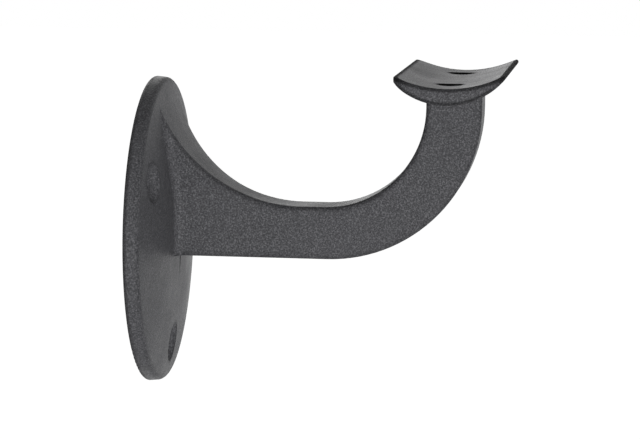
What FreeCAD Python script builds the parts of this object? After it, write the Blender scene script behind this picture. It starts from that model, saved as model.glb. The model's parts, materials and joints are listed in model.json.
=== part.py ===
"""Handrail bracket: one casting that screws to a wall and carries a rail on a dished saddle.

Frame: millimetres, +Z up. The origin is the centre of the rose's back face, which lies on the
wall plane X = 0. The arm runs out along +X, and the rail lies along Y.
"""
import FreeCAD, Part
import math
import os

V = FreeCAD.Vector

# Rose: the round plate on the wall
rose_diameter = 76.1
rose_rim_height = 3.7
rose_rim_draft = 5.8
rose_crown_rise = 3.2
rose_back_radius = 0.8
rose_edge_radius = 1.4

# Wall screws, evenly round a circle, the first one straight down
wall_screw_count = 3
wall_screw_circle = 58.4
wall_screw_hole = 5.2
wall_screw_head = 9.9
countersink_angle = 90.0

# Arm: straight run, bend and upright leg under the rail
wall_to_rail_centre = 75.4
arm_thickness = 12.0
arm_underside_drop = 6.0
arm_depth = 12.95
leg_width = 13.65
bend_outer_radius = 37.6
bend_inner_radius = 24.9
arm_edge_radius = 1.2

# Gusset: an arc from the arm's top up to the rose, with flanks that lean out as they climb.
# The arc leaves the arm's top level at gusset_reach_x and meets the crown at gusset_head_crease
# degrees, then runs straight on inside the rose for gusset_root_length.
gusset_reach_x = 37.5
gusset_head_crease = 8.0
gusset_root_length = 4.0
gusset_flank_lean = 20.0
gusset_flank_blend_radius = 10.0
foot_fillet_radius = 2.2

# Saddle: the dished plate that the rail rests on. saddle_offset is how far the plate's middle lies
# beyond the rail's centre line; saddle_tip_flat is what is left upright between its rounded edges.
saddle_length = 60.2
saddle_width = 26.3
saddle_offset = 0.45
seat_low_z = 38.6
seat_radius = 29.2
saddle_middle_thickness = 3.95
saddle_tip_thickness = 1.1
saddle_tip_flat = 0.15
saddle_corner_radius = 3.5
leg_top_fillet_radius = 0.8

# Rail screws, one on each side of the leg
rail_screw_spacing = 35.0
rail_screw_hole = 6.0

# How far joined and cutting bodies run past the faces they meet
overrun = 2.0

# How near counts as touching, in millimetres, and how sharp a crease counts, in degrees
touching = 0.01
least_crease = 2.0

# How much of a direction's length may point along an axis before it counts as along or across it
along_axis = 0.99
mostly_sideways = 0.8
hardly_sideways = 0.1

# Places worked out from the sizes above
arm_underside_z = -arm_underside_drop
arm_top_z = arm_depth - arm_underside_drop
leg_inner_x = wall_to_rail_centre - leg_width / 2
leg_outer_x = wall_to_rail_centre + leg_width / 2
inner_bend_x = leg_inner_x - bend_inner_radius
outer_bend_x = leg_outer_x - bend_outer_radius
rim_front_radius = rose_diameter / 2 - rose_rim_height * math.tan(math.radians(rose_rim_draft))
crown_sphere_radius = (rim_front_radius ** 2 + rose_crown_rise ** 2) / (2 * rose_crown_rise)
saddle_far_reach = saddle_width / 2 + abs(saddle_offset)
crown_centre_x = rose_rim_height + rose_crown_rise - crown_sphere_radius


def bent_edge(centre_x, centre_z, radius, start_degrees, end_degrees):
    """Return an arc in the XZ plane between two angles counted from +X towards +Z."""
    points = []
    for share in (0.0, 0.5, 1.0):
        angle = math.radians(start_degrees + (end_degrees - start_degrees) * share)
        points.append(V(centre_x + radius * math.cos(angle), 0, centre_z + radius * math.sin(angle)))
    return Part.Arc(*points).toShape()


def straight_edge(start, end):
    """Return the straight edge between two points."""
    return Part.LineSegment(start, end).toShape()


def side_extrusion(edges, width):
    """Return a closed XZ outline as a solid of the given width, centred on Y = 0."""
    face = Part.Face(Part.Wire(edges))
    face.translate(V(0, -width / 2, 0))
    return face.extrude(V(0, width, 0))


def edge_middle(edge):
    """Return the point half way along an edge."""
    return edge.valueAt((edge.FirstParameter + edge.LastParameter) / 2)


def is_upright(edge):
    """Return whether an edge starts straight up or down."""
    return abs(edge.tangentAt(edge.FirstParameter).z) > along_axis


def normals_beside(shape, edge):
    """Return the normals of the faces that meet along an edge, taken half way along it."""
    middle = edge_middle(edge)
    normals = []
    for face in shape.ancestorsOfType(edge, Part.Face):
        across, along = face.Surface.parameter(middle)
        normals.append(face.normalAt(across, along))
    return normals


def circles_at(shape, x):
    """Return the closed edges of a shape that lie in an upright plane at the given x."""
    return [edge for edge in shape.Edges if edge.isClosed() and abs(edge_middle(edge).x - x) < touching]


def rose():
    """Return the round plate: drafted rim, rounded edges, low crowned front, screw holes."""
    height = rose_rim_height + rose_crown_rise + overrun
    tip_radius = rose_diameter / 2 - height * math.tan(math.radians(rose_rim_draft))
    disc = Part.makeCone(rose_diameter / 2, tip_radius, height, V(0, 0, 0), V(1, 0, 0))
    sphere = Part.makeSphere(crown_sphere_radius)
    sphere.rotate(V(0, 0, 0), V(0, 0, 1), 180)
    sphere.translate(V(crown_centre_x, 0, 0))
    plate = disc.common(sphere)
    plate = plate.makeFillet(rose_edge_radius, circles_at(plate, rose_rim_height))
    plate = plate.makeFillet(rose_back_radius, circles_at(plate, 0))
    for cutter in wall_screw_cutters():
        plate = plate.cut(cutter)
    return plate


def gusset_arc():
    """Return the centre, radius and head of the arc that joins the arm's top to the crown."""
    run = gusset_reach_x - crown_centre_x
    crease = math.radians(gusset_head_crease)
    spare = run ** 2 + arm_top_z ** 2 - crown_sphere_radius ** 2
    radius = spare / (2 * (crown_sphere_radius * math.cos(crease) - arm_top_z))
    centre = V(gusset_reach_x, 0, arm_top_z + radius)
    rise_angle = math.atan2(centre.z, run)
    back_angle = math.asin(radius * math.sin(crease) / math.hypot(run, centre.z))
    head_angle = rise_angle - back_angle
    head_x = crown_centre_x + crown_sphere_radius * math.cos(head_angle)
    head = V(head_x, 0, crown_sphere_radius * math.sin(head_angle))
    return centre, radius, head


def gusset_side():
    """Return the gusset's side outline turned about the crown's upright axis as a wide body."""
    centre, radius, head = gusset_arc()
    head_degrees = 360 + math.degrees(math.atan2(head.z - centre.z, head.x - centre.x))
    inward = V(head.z - centre.z, 0, centre.x - head.x).normalize()
    head_root = head + inward * gusset_root_length
    heel = V(0, 0, arm_underside_z)
    head_back = V(0, 0, head_root.z)
    arc_end = V(gusset_reach_x, 0, arm_top_z)
    top_end = V(gusset_reach_x + overrun, 0, arm_top_z)
    bottom_end = V(gusset_reach_x + overrun, 0, arm_underside_z)
    outline = [
        straight_edge(heel, head_back),
        straight_edge(head_back, head_root),
        straight_edge(head_root, head),
        bent_edge(centre.x, centre.z, radius, head_degrees, 270),
        straight_edge(arc_end, top_end),
        straight_edge(top_end, bottom_end),
        straight_edge(bottom_end, heel),
    ]
    face = Part.Face(Part.Wire(outline))
    axis_point = V(crown_centre_x, 0, 0)
    half_turn = math.degrees(math.atan2(rose_diameter / 2, -crown_centre_x))
    face.rotate(axis_point, V(0, 0, 1), -half_turn)
    return face.revolve(axis_point, V(0, 0, 1), 2 * half_turn)


def gusset_front():
    """Return the gusset's front outline as a long body: upright sides, blend, leaning flanks."""
    half = arm_thickness / 2
    lean = math.radians(gusset_flank_lean)
    blend = gusset_flank_blend_radius
    blend_centre_y = half + blend
    blend_middle_y = blend_centre_y - blend * math.cos(lean / 2)
    blend_middle_z = arm_top_z + blend * math.sin(lean / 2)
    blend_end_y = blend_centre_y - blend * math.cos(lean)
    blend_end_z = arm_top_z + blend * math.sin(lean)
    head_z = rose_diameter / 2
    head_y = blend_end_y + (head_z - blend_end_z) * math.tan(lean)
    edges = []
    for side in (1, -1):
        foot = V(0, side * half, arm_underside_z)
        blend_start = V(0, side * half, arm_top_z)
        blend_middle = V(0, side * blend_middle_y, blend_middle_z)
        blend_end = V(0, side * blend_end_y, blend_end_z)
        edges.append(straight_edge(foot, blend_start))
        edges.append(Part.Arc(blend_start, blend_middle, blend_end).toShape())
        edges.append(straight_edge(blend_end, V(0, side * head_y, head_z)))
    edges.append(straight_edge(V(0, half, arm_underside_z), V(0, -half, arm_underside_z)))
    edges.append(straight_edge(V(0, head_y, head_z), V(0, -head_y, head_z)))
    face = Part.Face(Part.Wire(Part.__sortEdges__(edges)))
    return face.extrude(V(gusset_reach_x + overrun, 0, 0))


def gusset():
    """Return the gusset: what its side outline and its front outline have in common."""
    reach = gusset_reach_x + overrun
    inside_rim = Part.makeCylinder(rim_front_radius - rose_edge_radius, reach, V(0, 0, 0), V(1, 0, 0))
    return gusset_side().common(gusset_front()).common(inside_rim)


def underside_radius():
    """Return the radius of the saddle's underside, from its thicknesses and width."""
    seat_sagitta = seat_radius - math.sqrt(seat_radius ** 2 - saddle_far_reach ** 2)
    sagitta = seat_sagitta + saddle_middle_thickness - saddle_tip_thickness
    return (saddle_far_reach ** 2 + sagitta ** 2) / (2 * sagitta)


def underside_centre_z():
    """Return the height of the axis that the saddle's underside is curved about."""
    return seat_low_z - saddle_middle_thickness + underside_radius()


def leg_top_z():
    """Return a height inside the saddle plate over the whole width of the leg."""
    drop = math.sqrt(underside_radius() ** 2 - (leg_width / 2) ** 2)
    return (underside_centre_z() - drop + seat_low_z) / 2


def bend_and_leg():
    """Return the arm: straight run from the wall, bend, and leg up into the saddle."""
    outer_centre_z = arm_underside_z + bend_outer_radius
    inner_centre_z = arm_top_z + bend_inner_radius
    top_z = max(outer_centre_z, inner_centre_z, leg_top_z()) + overrun
    outline = [
        straight_edge(V(0, 0, arm_underside_z), V(outer_bend_x, 0, arm_underside_z)),
        bent_edge(outer_bend_x, outer_centre_z, bend_outer_radius, 270, 360),
        straight_edge(V(leg_outer_x, 0, outer_centre_z), V(leg_outer_x, 0, top_z)),
        straight_edge(V(leg_outer_x, 0, top_z), V(leg_inner_x, 0, top_z)),
        straight_edge(V(leg_inner_x, 0, top_z), V(leg_inner_x, 0, inner_centre_z)),
        bent_edge(inner_bend_x, inner_centre_z, bend_inner_radius, 360, 270),
        straight_edge(V(inner_bend_x, 0, arm_top_z), V(0, 0, arm_top_z)),
        straight_edge(V(0, 0, arm_top_z), V(0, 0, arm_underside_z)),
    ]
    arm = side_extrusion(outline, arm_thickness)
    above = Part.makeBox(leg_outer_x, arm_thickness, top_z, V(0, -arm_thickness / 2, leg_top_z()))
    return arm.cut(above)


def rounded_arm():
    """Return gusset, bend and leg as one body, with its long edges rounded."""
    body = gusset().fuse(bend_and_leg()).removeSplitter()
    long_edges = []
    for edge in body.Edges:
        middle = edge_middle(edge)
        beside = abs(middle.y) > arm_thickness / 2 - touching
        at_an_end = middle.x < touching or abs(middle.z - leg_top_z()) < touching
        if not beside or at_an_end:
            continue
        sideways = sorted(abs(normal.y) for normal in normals_beside(body, edge))
        if sideways[0] < hardly_sideways and sideways[1] > mostly_sideways:
            long_edges.append(edge)
    return body.makeFillet(arm_edge_radius, long_edges)


def cylinder_across(radius, centre_z):
    """Return a round bar along Y, longer than the saddle, above the middle of the leg."""
    start = V(wall_to_rail_centre, -saddle_length / 2 - overrun, centre_z)
    return Part.makeCylinder(radius, saddle_length + 2 * overrun, start, V(0, 1, 0))


def saddle():
    """Return the saddle plate: dished seat, rounder underside, rounded corners, screw holes."""
    half_width = saddle_width / 2
    bottom_z = seat_low_z - saddle_middle_thickness - overrun
    tip_z = seat_low_z + seat_radius - math.sqrt(seat_radius ** 2 - saddle_far_reach ** 2)
    corner = V(wall_to_rail_centre + saddle_offset - half_width, -saddle_length / 2, bottom_z)
    block = Part.makeBox(saddle_width, saddle_length, tip_z + overrun - bottom_z, corner)
    upright = [edge for edge in block.Edges if is_upright(edge)]
    block = block.makeFillet(saddle_corner_radius, upright)
    plate = block.common(cylinder_across(underside_radius(), underside_centre_z()))
    plate = plate.cut(cylinder_across(seat_radius, seat_low_z + seat_radius))
    rims = [edge for edge in plate.Edges if not is_upright(edge)]
    plate = plate.makeFillet((saddle_tip_thickness - saddle_tip_flat) / 2, rims)
    for cutter in rail_screw_cutters():
        plate = plate.cut(cutter)
    return plate


def wall_screw_cutters():
    """Return the countersunk screw holes through the rose as bodies to cut away."""
    circle_radius = wall_screw_circle / 2
    front_x = crown_centre_x + math.sqrt(crown_sphere_radius ** 2 - circle_radius ** 2)
    hole_radius = wall_screw_hole / 2
    head_radius = wall_screw_head / 2
    slope = math.tan(math.radians(countersink_angle / 2))
    depth = (head_radius - hole_radius) / slope
    mouth_radius = head_radius + overrun * slope
    cutters = []
    for number in range(wall_screw_count):
        angle = math.radians(-90 + number * 360 / wall_screw_count)
        centre = V(0, circle_radius * math.cos(angle), circle_radius * math.sin(angle))
        shank_start = centre + V(-overrun, 0, 0)
        shank = Part.makeCylinder(hole_radius, front_x + 2 * overrun, shank_start, V(1, 0, 0))
        sink_start = centre + V(front_x - depth, 0, 0)
        sink = Part.makeCone(hole_radius, mouth_radius, depth + overrun, sink_start, V(1, 0, 0))
        cutters.append(shank.fuse(sink))
    return cutters


def rail_screw_cutters():
    """Return the two screw holes through the saddle as bodies to cut away."""
    bottom_z = seat_low_z - saddle_middle_thickness - overrun
    height = saddle_middle_thickness + 2 * overrun
    cutters = []
    for side in (1, -1):
        centre = V(wall_to_rail_centre, side * rail_screw_spacing / 2, bottom_z)
        cutters.append(Part.makeCylinder(rail_screw_hole / 2, height, centre, V(0, 0, 1)))
    return cutters


def foot_edges(shape):
    """Return the edges where the arm and gusset stand on the crowned front of the rose."""
    crown_centre = V(crown_centre_x, 0, 0)
    chosen = []
    for edge in shape.Edges:
        middle = edge_middle(edge)
        off_crown = abs(middle.sub(crown_centre).Length - crown_sphere_radius)
        inside_rim = math.hypot(middle.y, middle.z) < rim_front_radius - rose_edge_radius
        normals = normals_beside(shape, edge)
        if off_crown < touching and inside_rim and not edge.isClosed():
            if normals[0].getAngle(normals[1]) > math.radians(least_crease):
                chosen.append(edge)
    return chosen


def leg_top_edges(shape):
    """Return the edges where the leg meets the saddle's underside."""
    chosen = []
    for edge in shape.Edges:
        middle = edge_middle(edge)
        from_axis = math.hypot(middle.x - wall_to_rail_centre, middle.z - underside_centre_z())
        on_underside = abs(from_axis - underside_radius()) < touching
        beside_leg = abs(middle.x - wall_to_rail_centre) < leg_width / 2 + touching
        within_arm = abs(middle.y) < arm_thickness / 2 + touching
        if on_underside and beside_leg and within_arm and middle.z < seat_low_z:
            chosen.append(edge)
    return chosen


def below_the_arm(plate):
    """Return the space close under the arm in front of the rose, where no fillet is wanted."""
    reach = crown_centre_x + crown_sphere_radius + 2 * foot_fillet_radius
    width = arm_thickness + 4 * foot_fillet_radius
    depth = 2 * foot_fillet_radius
    corner = V(0, -width / 2, arm_underside_z - depth)
    return Part.makeBox(reach, width, depth, corner).cut(plate)


def bracket():
    """Return the whole casting."""
    plate = rose()
    body = plate.fuse(rounded_arm())
    body = body.makeFillet(foot_fillet_radius, foot_edges(body))
    body = body.cut(below_the_arm(plate)).removeSplitter()
    body = body.fuse(saddle())
    return body.makeFillet(leg_top_fillet_radius, leg_top_edges(body))


os.makedirs("parts", exist_ok=True)
bracket_casting = bracket()
bracket_casting.exportStep("parts/bracket_casting.step")
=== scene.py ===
"""Handrail bracket: dresses the casting in its powder coat and sets it in a plain studio."""

import json
import logging
import math
from dataclasses import dataclass, field
from enum import Enum

import bpy
from mathutils import Matrix, Vector


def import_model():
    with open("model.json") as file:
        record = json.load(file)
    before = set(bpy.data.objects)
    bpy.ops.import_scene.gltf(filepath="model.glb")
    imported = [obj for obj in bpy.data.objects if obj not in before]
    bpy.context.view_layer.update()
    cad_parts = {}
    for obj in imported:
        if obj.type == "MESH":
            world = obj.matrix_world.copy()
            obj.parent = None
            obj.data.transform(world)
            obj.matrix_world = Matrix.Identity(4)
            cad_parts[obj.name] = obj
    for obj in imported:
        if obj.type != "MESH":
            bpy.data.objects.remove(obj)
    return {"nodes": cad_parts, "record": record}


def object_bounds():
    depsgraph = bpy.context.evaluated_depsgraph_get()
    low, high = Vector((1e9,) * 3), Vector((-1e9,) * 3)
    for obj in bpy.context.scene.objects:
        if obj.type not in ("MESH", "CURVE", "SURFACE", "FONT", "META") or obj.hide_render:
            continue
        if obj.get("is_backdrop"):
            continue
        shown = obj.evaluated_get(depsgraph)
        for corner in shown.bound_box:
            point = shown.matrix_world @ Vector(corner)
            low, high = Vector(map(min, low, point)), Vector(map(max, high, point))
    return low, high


MIX_INPUTS = (0, 6, 7)  # a Mix node's factor and its two colours
MIX_RESULT = 2  # the blended colour
BLACK = (0.0, 0.0, 0.0, 1.0)
WHITE = (1.0, 1.0, 1.0, 1.0)
log = logging.getLogger("handrail_bracket")


class Ray(Enum):
    """The kinds of ray that a shader can tell apart, by their Light Path output."""

    CAMERA = "Is Camera Ray"
    GLOSSY = "Is Glossy Ray"
    TRANSMISSION = "Is Transmission Ray"


@dataclass
class NodeSheet:
    """A node tree being filled in, with short calls for adding and joining nodes."""

    tree: bpy.types.NodeTree

    def add(self, kind: str, **values: object) -> bpy.types.Node:
        """Adds one node and sets its fields or its input sockets.

        Args:
            kind: The node's Blender type name.
            **values: Fields by name; a name that isn't a field is an input socket, with
                underscores for spaces.

        Returns:
            The new node.
        """
        node = self.tree.nodes.new(kind)
        for name, value in values.items():
            if hasattr(node, name):
                setattr(node, name, value)
            else:
                node.inputs[name.replace("_", " ")].default_value = value
        return node

    def join(self, source: bpy.types.NodeSocket, target: bpy.types.NodeSocket) -> None:
        """Links an output socket to an input socket."""
        self.tree.links.new(source, target)

    def maths(self, operation: str, first: object, second: object = 0.0) -> bpy.types.NodeSocket:
        """Adds one Math node.

        Args:
            operation: The Math node's operation.
            first: A number or a socket.
            second: A number or a socket.

        Returns:
            The result's socket.
        """
        node = self.add("ShaderNodeMath", operation=operation)
        for value, target in zip((first, second), node.inputs):
            self.feed(value, target)
        return node.outputs[0]

    def feed(self, value: object, target: bpy.types.NodeSocket) -> None:
        """Sets an input to a number, or joins a socket to it.

        Args:
            value: A number or a socket.
            target: The input to set.
        """
        if isinstance(value, bpy.types.NodeSocket):
            self.join(value, target)
        else:
            target.default_value = value

    def ramp(self, value: object, start: tuple[float, float],
             end: tuple[float, float]) -> bpy.types.NodeSocket:
        """Adds a smooth step that is held at its two ends.

        Args:
            value: The number or socket to read.
            start: A value read and what is given for it.
            end: Another value read and what is given for it.

        Returns:
            The result's socket.
        """
        node = self.add("ShaderNodeMapRange", interpolation_type="SMOOTHSTEP")
        self.feed(value, node.inputs["Value"])
        (low, low_gives), (high, high_gives) = sorted((start, end))
        node.inputs["From Min"].default_value = low
        node.inputs["From Max"].default_value = high
        node.inputs["To Min"].default_value = low_gives
        node.inputs["To Max"].default_value = high_gives
        return node.outputs["Result"]

    def shown_to_eye(self) -> bpy.types.NodeSocket:
        """Adds the nodes that tell a ray which shows the background from one that lights.

        Returns:
            A socket that is 1 for camera, glossy and transmission rays, and 0 for others.
        """
        path = self.add("ShaderNodeLightPath")
        total = path.outputs[Ray.CAMERA.value]
        for ray in (Ray.GLOSSY, Ray.TRANSMISSION):
            total = self.maths("MAXIMUM", total, path.outputs[ray.value])
        return total

    def mix(self, amount: bpy.types.NodeSocket, first: object,
            second: tuple[float, float, float, float]) -> bpy.types.NodeSocket:
        """Blends from one colour to another.

        Args:
            amount: The share of the second colour.
            first: The colour or socket to start from.
            second: The colour to go to.

        Returns:
            The blended colour's socket.
        """
        node = self.add("ShaderNodeMix", data_type="RGBA")
        factor, start, end = (node.inputs[place] for place in MIX_INPUTS)
        self.join(amount, factor)
        self.feed(first, start)
        self.feed(second, end)
        return node.outputs[MIX_RESULT]


@dataclass(frozen=True)
class Texture:
    """One noise pattern laid through the solid, so that it doesn't depend on the mesh.

    Attributes:
        grain: Size of the pattern's main features.
        detail: How many finer layers it has.
        roughness: How strong the finer layers are.
    """

    grain: float
    detail: float = 2.0
    roughness: float = 0.55

    def lay(self, sheet: NodeSheet) -> bpy.types.NodeSocket:
        """Adds the pattern.

        Args:
            sheet: The node sheet to add it to.

        Returns:
            The pattern's value, which lies mostly between 0.3 and 0.7.
        """
        place = sheet.add("ShaderNodeTexCoord")
        noise = sheet.add("ShaderNodeTexNoise", Scale=1.0 / self.grain, Detail=self.detail,
                          Roughness=self.roughness)
        sheet.join(place.outputs["Object"], noise.inputs["Vector"])
        return noise.outputs["Fac"]


@dataclass(frozen=True)
class PaintedShadeLine:
    """A short dark line of painted shade on the wall plate, running down near its middle from under
    the arm, where the arm shades the plate.

    Attributes:
        side: How far the line's centre lies towards +Y.
        top: Height, just under the arm, at which it is strongest.
        length: How far it runs down from there before it has faded.
        half_width: Distance over which it fades sideways, under the arm, and at front and reach.
        depth: How far it is sunk.
        front: Distance from the wall within which it fades, so that the plate's back stays plain.
        reach: Distance from the wall beyond which it fades, so that the arm stays plain.
        darkening: How dark and dull it is at its centre, from 0 to 1.
    """

    side: float = 0.0010
    top: float = -0.0064
    length: float = 0.0064
    half_width: float = 0.00100
    depth: float = 0.00010
    front: float = 0.0050
    reach: float = 0.0110
    # darkening: How dark the painted shade is at its centre, and how far the roughness rises there,
    # from 0 to 1.
    darkening: float = 0.90

    def lay(self, sheet: NodeSheet) -> bpy.types.NodeSocket:
        """Adds the line's mask.

        Args:
            sheet: The node sheet to add it to.

        Returns:
            A socket that is 1 on the line's centre and 0 away from it.
        """
        place = sheet.add("ShaderNodeTexCoord")
        split = sheet.add("ShaderNodeSeparateXYZ")
        sheet.join(place.outputs["Object"], split.inputs["Vector"])
        from_wall, sideways, height = (split.outputs[axis] for axis in "XYZ")
        off_centre = sheet.maths("ABSOLUTE", sheet.maths("SUBTRACT", sideways, self.side))
        across = sheet.ramp(off_centre, (0.0, 1.0), (self.half_width, 0.0))
        down = sheet.ramp(height, (self.top - self.length, 0.0), (self.top, 1.0))
        under_arm = sheet.ramp(height, (self.top, 1.0), (self.top + self.half_width, 0.0))
        off_back = sheet.ramp(from_wall, (self.front - self.half_width, 0.0), (self.front, 1.0))
        on_plate = sheet.ramp(from_wall, (self.reach, 1.0), (self.reach + self.half_width, 0.0))
        mask = across
        for limit in (down, under_arm, off_back, on_plate):
            mask = sheet.maths("MULTIPLY", mask, limit)
        return mask


@dataclass(frozen=True)
class PaintedEdgeShade:
    """Painted shade on convex edges: the dark lines that light leaves along rounded edges, painted
    into the colour, with the roughness raised there too.

    Attributes:
        reach: How far inward the rays look for another face, which sets the edge's width.
        samples: Rays sent from each point.
        starts: Share of the rays that meet a face where an edge begins to show.
        full: Share of the rays that meet a face where it shows fully.
        darkening: How dark and dull the coat is there, from 0 to 1.
    """

    reach: float = 0.0013
    samples: int = 8
    starts: float = 0.03
    full: float = 0.34
    # darkening: How dark the painted shade is there, and how far the roughness rises, from 0 to 1.
    darkening: float = 0.90

    def lay(self, sheet: NodeSheet) -> bpy.types.NodeSocket:
        """Adds the mask of the convex edges.

        Args:
            sheet: The node sheet to add it to.

        Returns:
            A socket that is the painted shade on an edge and 0 on open faces.
        """
        inward = sheet.add("ShaderNodeAmbientOcclusion", inside=True, samples=self.samples,
                           Distance=self.reach)
        near = sheet.maths("SUBTRACT", 1.0, inward.outputs["AO"])
        return sheet.ramp(near, (self.starts, 0.0), (self.full, self.darkening))


@dataclass(frozen=True)
class PowderCoat:
    """Fine-textured anthracite powder coat over a cast surface.

    Attributes:
        name: The material's name.
        dark: Pigment in the hollows of the grain.
        light: Pigment on its tops.
        fleck: Pigment of the pale flecks.
        specular: Strength of the gloss.
        smooth: Least roughness on open faces.
        rough: Greatest roughness on open faces.
        grain: The fine pattern.
        flecks: The pattern of the pale flecks.
        peel: The waviness of orange peel.
        clouds: The slow change over the surface.
        grain_span: Values of the grain that give the darkest and the lightest pigment.
        cloud_span: Values of the clouds that do the same.
        grain_share: How much of the pigment's range the grain takes.
        cloud_share: How much of it the clouds take.
        sheen_span: Values of grain and clouds together for the least and greatest roughness.
        fleck_starts: Value at which a fleck begins.
        fleck_full: Value at which it is palest.
        edge_rough: Roughness where the coat is fully dull.
        grain_height: Height of the grain.
        peel_height: Height of the orange peel.
        line: The line of painted shade under the arm.
        edges: The painted shade on convex edges.
    """

    name: str = "anthracite_powder_coat"
    dark: tuple[float, float, float, float] = (0.024, 0.024, 0.026, 1.0)
    light: tuple[float, float, float, float] = (0.044, 0.044, 0.047, 1.0)
    fleck: tuple[float, float, float, float] = (0.082, 0.082, 0.087, 1.0)
    specular: float = 0.04
    smooth: float = 0.32
    rough: float = 0.45
    grain: Texture = Texture(0.00050)
    flecks: Texture = Texture(0.00038, 1.0)
    peel: Texture = Texture(0.0030, 1.0)
    clouds: Texture = Texture(0.0140, 2.0)
    grain_span: tuple[float, float] = (0.32, 0.68)
    cloud_span: tuple[float, float] = (0.30, 0.70)
    grain_share: float = 0.85
    cloud_share: float = 0.15
    sheen_span: tuple[float, float] = (0.35, 0.65)
    fleck_starts: float = 0.42
    fleck_full: float = 0.78
    edge_rough: float = 0.85
    grain_height: float = 0.00013
    peel_height: float = 0.00010
    line: PaintedShadeLine = PaintedShadeLine()
    edges: PaintedEdgeShade = PaintedEdgeShade()

    def material(self) -> bpy.types.Material:
        """Builds the coat.

        Returns:
            The finished material.
        """
        material = bpy.data.materials.new(self.name)
        material.use_nodes = True
        material.node_tree.nodes.clear()
        sheet = NodeSheet(material.node_tree)
        grain = self.grain.lay(sheet)
        flecks = sheet.ramp(self.flecks.lay(sheet), (self.fleck_starts, 0.0), (self.fleck_full, 1.0))
        clouds = self.clouds.lay(sheet)
        peel = self.peel.lay(sheet)
        line = self.line.lay(sheet)
        shader = sheet.add("ShaderNodeBsdfPrincipled", Specular_IOR_Level=self.specular)
        edges = self.edges.lay(sheet)
        # Painted shade: this mask paints the dark edge lines and the dark line under the arm into the
        # colour, and also raises the roughness there.
        painted_shade_and_dull = sheet.maths("MAXIMUM", sheet.maths("MULTIPLY", line, self.line.darkening), edges)
        sheet.join(self.tint(sheet, grain, clouds, flecks, painted_shade_and_dull), shader.inputs["Base Color"])
        sheet.join(self.sheen(sheet, grain, clouds, painted_shade_and_dull), shader.inputs["Roughness"])
        sheet.join(self.relief(sheet, grain, peel, line), shader.inputs["Normal"])
        output = sheet.add("ShaderNodeOutputMaterial")
        sheet.join(shader.outputs["BSDF"], output.inputs["Surface"])
        return material

    def tint(self, sheet: NodeSheet, grain: bpy.types.NodeSocket, clouds: bpy.types.NodeSocket,
             flecks: bpy.types.NodeSocket, painted_shade_and_dull: bpy.types.NodeSocket) -> bpy.types.NodeSocket:
        """Mixes the coat's colours: pigment grain, faint clouds, pale flecks, and painted shade on
        edges and under the arm.

        Args:
            sheet: The node sheet to add to.
            grain: The fine grain.
            clouds: The slow change over the surface.
            flecks: The mask of the pale flecks.
            painted_shade_and_dull: The painted shade on edges and on the line under the arm.

        Returns:
            The colour's socket.
        """
        low, high = self.grain_span
        by_grain = sheet.ramp(grain, (low, 0.0), (high, self.grain_share))
        low, high = self.cloud_span
        by_clouds = sheet.ramp(clouds, (low, 0.0), (high, self.cloud_share))
        pigment = sheet.mix(sheet.maths("ADD", by_grain, by_clouds), self.dark, self.light)
        flecked = sheet.mix(flecks, pigment, self.fleck)
        # Painted shade: blends the colour towards black on convex edges and on the line under the
        # arm.
        return sheet.mix(painted_shade_and_dull, flecked, BLACK)

    def sheen(self, sheet: NodeSheet, grain: bpy.types.NodeSocket, clouds: bpy.types.NodeSocket,
              painted_shade_and_dull: bpy.types.NodeSocket) -> bpy.types.NodeSocket:
        """Makes the roughness, which follows the grain and clouds and is high where the painted shade
        lies.

        Args:
            sheet: The node sheet to add to.
            grain: The fine grain.
            clouds: The slow change over the surface.
            painted_shade_and_dull: The painted shade on edges and on the line under the arm.

        Returns:
            The roughness's socket.
        """
        average = sheet.maths("MULTIPLY", sheet.maths("ADD", grain, clouds), 0.5)
        low, high = self.sheen_span
        open_face = sheet.ramp(average, (low, self.smooth), (high, self.rough))
        more = sheet.maths("MULTIPLY", sheet.maths("SUBTRACT", self.edge_rough, open_face), painted_shade_and_dull)
        return sheet.maths("ADD", open_face, more)

    def relief(self, sheet: NodeSheet, grain: bpy.types.NodeSocket, peel: bpy.types.NodeSocket,
               line: bpy.types.NodeSocket) -> bpy.types.NodeSocket:
        """Raises the grain and the orange peel, and sinks the line of painted shade a little.

        Args:
            sheet: The node sheet to add to.
            grain: The fine grain.
            peel: The slow waviness.
            line: The mask of the line of painted shade.

        Returns:
            The normal's socket.
        """
        heights = (peel, self.peel_height), (grain, self.grain_height), (line, -self.line.depth)
        normal = None
        for height, distance in heights:
            bump = sheet.add("ShaderNodeBump", Distance=distance)
            sheet.join(height, bump.inputs["Height"])
            if normal is not None:
                sheet.join(normal, bump.inputs["Normal"])
            normal = bump.outputs["Normal"]
        return normal


@dataclass
class Casting:
    """The bracket itself, one casting from wall plate to saddle."""

    node: str
    coat: PowderCoat = field(default_factory=PowderCoat)

    def dress(self, nodes: dict[str, bpy.types.Object]) -> bpy.types.Object:
        """Gives the casting its powder coat.

        Args:
            nodes: The CAD objects by node name.

        Returns:
            The dressed object.
        """
        casting = nodes[self.node]
        coat = self.coat.material()
        for slot in casting.material_slots:
            slot.material = coat
        return casting


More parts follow.
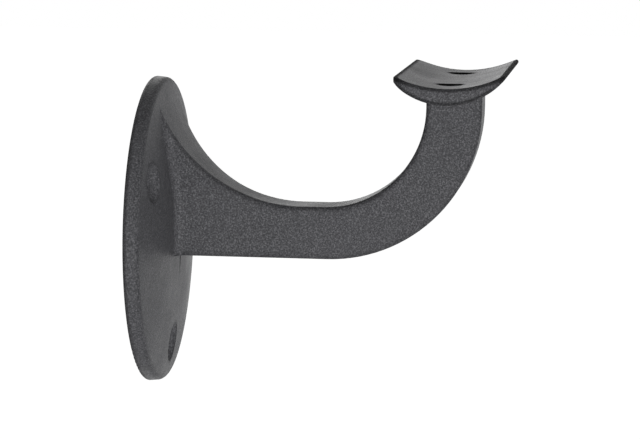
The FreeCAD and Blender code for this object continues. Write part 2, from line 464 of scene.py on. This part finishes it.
@dataclass
class Floor:
    """A plain pale floor, some way below the bracket as under a part fixed to a wall.

    Attributes:
        drop: Distance from the bracket's lowest point down to the floor.
        size: Length of the floor's sides.
        colour: The floor's matt colour.
        lift: Glow added where the floor is seen, so that it looks white. It lights nothing.
    """

    drop: float = 0.30
    size: float = 12.0
    colour: tuple[float, float, float, float] = (0.86, 0.86, 0.86, 1.0)
    lift: float = 0.76

    def build(self, lowest: float) -> bpy.types.Object:
        """Lays the floor.

        Args:
            lowest: Height of the bracket's lowest point, in metres.

        Returns:
            The floor.
        """
        half = self.size / 2
        mesh = bpy.data.meshes.new("studio_floor")
        outline = ((-half, -half), (half, -half), (half, half), (-half, half))
        corners = [(x, y, lowest - self.drop) for x, y in outline]
        mesh.from_pydata(corners, [], [(0, 1, 2, 3)])
        floor = bpy.data.objects.new("studio_floor", mesh)
        bpy.context.scene.collection.objects.link(floor)
        floor.data.materials.append(self.material())
        floor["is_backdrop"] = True
        return floor

    def material(self) -> bpy.types.Material:
        """Builds the floor's finish: pale and matt, lifted to white where no shadow falls.

        Returns:
            The finished material.
        """
        material = bpy.data.materials.new("studio_floor")
        material.use_nodes = True
        material.node_tree.nodes.clear()
        sheet = NodeSheet(material.node_tree)
        matt = sheet.add("ShaderNodeBsdfDiffuse", Color=self.colour)
        glow = sheet.add("ShaderNodeEmission", Color=WHITE)
        strength = sheet.maths("MULTIPLY", sheet.shown_to_eye(), self.lift)
        sheet.join(strength, glow.inputs["Strength"])
        both = sheet.add("ShaderNodeAddShader")
        sheet.join(matt.outputs["BSDF"], both.inputs[0])
        sheet.join(glow.outputs["Emission"], both.inputs[1])
        output = sheet.add("ShaderNodeOutputMaterial")
        sheet.join(both.outputs["Shader"], output.inputs["Surface"])
        return material


@dataclass
class Backdrop:
    """The world: white where it is seen, and a weaker level where it lights.

    Attributes:
        lighting: Strength for the rays that light matt surfaces.
        seen: Strength for camera, glossy and transmission rays.
    """

    lighting: float = 0.32
    seen: float = 1.0

    def build(self) -> None:
        """Sets up the world."""
        world = bpy.data.worlds.new("studio")
        bpy.context.scene.world = world
        world.use_nodes = True
        world.node_tree.nodes.clear()
        sheet = NodeSheet(world.node_tree)
        level = sheet.add("ShaderNodeMapRange")
        level.inputs["To Min"].default_value = self.lighting
        level.inputs["To Max"].default_value = self.seen
        sheet.join(sheet.shown_to_eye(), level.inputs["Value"])
        sky = sheet.add("ShaderNodeBackground", Color=WHITE)
        sheet.join(level.outputs["Result"], sky.inputs["Strength"])
        output = sheet.add("ShaderNodeOutputWorld")
        sheet.join(sky.outputs["Background"], output.inputs["Surface"])


@dataclass
class SoftBox:
    """One square studio lamp aimed at the bracket.

    Attributes:
        name: The lamp's name.
        azimuth: Degrees round from the -Y side towards +X.
        elevation: Degrees above the horizontal.
        power: Power in watts.
        size: Length of the lamp's sides.
        distance: Distance from the bracket's middle.
    """

    name: str
    azimuth: float
    elevation: float
    power: float
    size: float = 0.34
    distance: float = 0.9

    def build(self, aim: Vector) -> bpy.types.Object:
        """Hangs the lamp.

        Args:
            aim: The point the lamp faces, in metres.

        Returns:
            The lamp.
        """
        data = bpy.data.lights.new(self.name, "AREA")
        data.shape = "SQUARE"
        data.size = self.size
        data.energy = self.power
        lamp = bpy.data.objects.new(self.name, data)
        bpy.context.scene.collection.objects.link(lamp)
        towards = direction_from(self.azimuth, self.elevation)
        lamp.location = aim + towards * self.distance
        lamp.rotation_euler = towards.to_track_quat("Z", "Y").to_euler()
        lamp.visible_camera = False
        return lamp


@dataclass
class ProductCamera:
    """The camera, a little right of square-on and a little above the bracket.

    Attributes:
        azimuth: Degrees round from the -Y side towards +X.
        elevation: Degrees above the horizontal.
        roll: Degrees by which it is turned about its own axis.
        distance: Distance from the point it is aimed at.
        aim: The point it is aimed at.
        lens: Focal length in millimetres.
        sensor: Sensor width in millimetres.
        nearest: Distance at which it begins to see.
    """

    azimuth: float = 7.49
    elevation: float = 7.69
    roll: float = 0.44
    distance: float = 0.66383
    aim: tuple[float, float, float] = (0.04142, 0.00523, 0.00245)
    lens: float = 149.62
    sensor: float = 36.0
    nearest: float = 0.01

    def build(self) -> bpy.types.Object:
        """Places the camera and makes it the scene's camera.

        Returns:
            The camera.
        """
        data = bpy.data.cameras.new("product_camera")
        data.lens = self.lens
        data.sensor_width = self.sensor
        data.clip_start = self.nearest
        camera = bpy.data.objects.new("product_camera", data)
        bpy.context.scene.collection.objects.link(camera)
        towards = direction_from(self.azimuth, self.elevation)
        facing = towards.to_track_quat("Z", "Y").to_matrix()
        turn = facing @ Matrix.Rotation(math.radians(self.roll), 3, "Z")
        place = Vector(self.aim) + towards * self.distance
        camera.matrix_world = Matrix.Translation(place) @ turn.to_4x4()
        bpy.context.scene.camera = camera
        return camera


def direction_from(azimuth: float, elevation: float) -> Vector:
    """Turns two angles into a direction away from the bracket.

    Args:
        azimuth: Degrees round from the -Y side towards +X.
        elevation: Degrees above the horizontal.

    Returns:
        The unit direction.
    """
    a, e = math.radians(azimuth), math.radians(elevation)
    return Vector((math.sin(a) * math.cos(e), -math.cos(a) * math.cos(e), math.sin(e)))


def main() -> None:
    """Builds the studio and dresses the bracket."""
    logging.basicConfig(level=logging.INFO, format="%(name)s: %(message)s")
    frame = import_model()
    cad_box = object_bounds()
    bpy.context.scene.view_settings.view_transform = "Standard"
    for subpart in frame["record"]["subparts"]:
        casting = Casting(subpart["node"]).dress(frame["nodes"])
        log.info("dressed %s", casting.name)
    lowest, highest = (Vector(corner) for corner in cad_box)
    middle = (lowest + highest) / 2
    log.info("laid %s", Floor().build(lowest.z).name)
    Backdrop().build()
    for lamp in (
        SoftBox("front", azimuth=2.0, elevation=-10.0, power=3.4),
        SoftBox("front_right", azimuth=24.0, elevation=-9.0, power=6.0),
        SoftBox("side", azimuth=50.0, elevation=-8.0, power=2.2),
        SoftBox("back", azimuth=200.0, elevation=18.0, power=1.0, size=0.50),
    ):
        log.info("hung %s", lamp.build(middle).name)
    log.info("placed %s", ProductCamera().build().name)


if __name__ == "__main__":
    main()
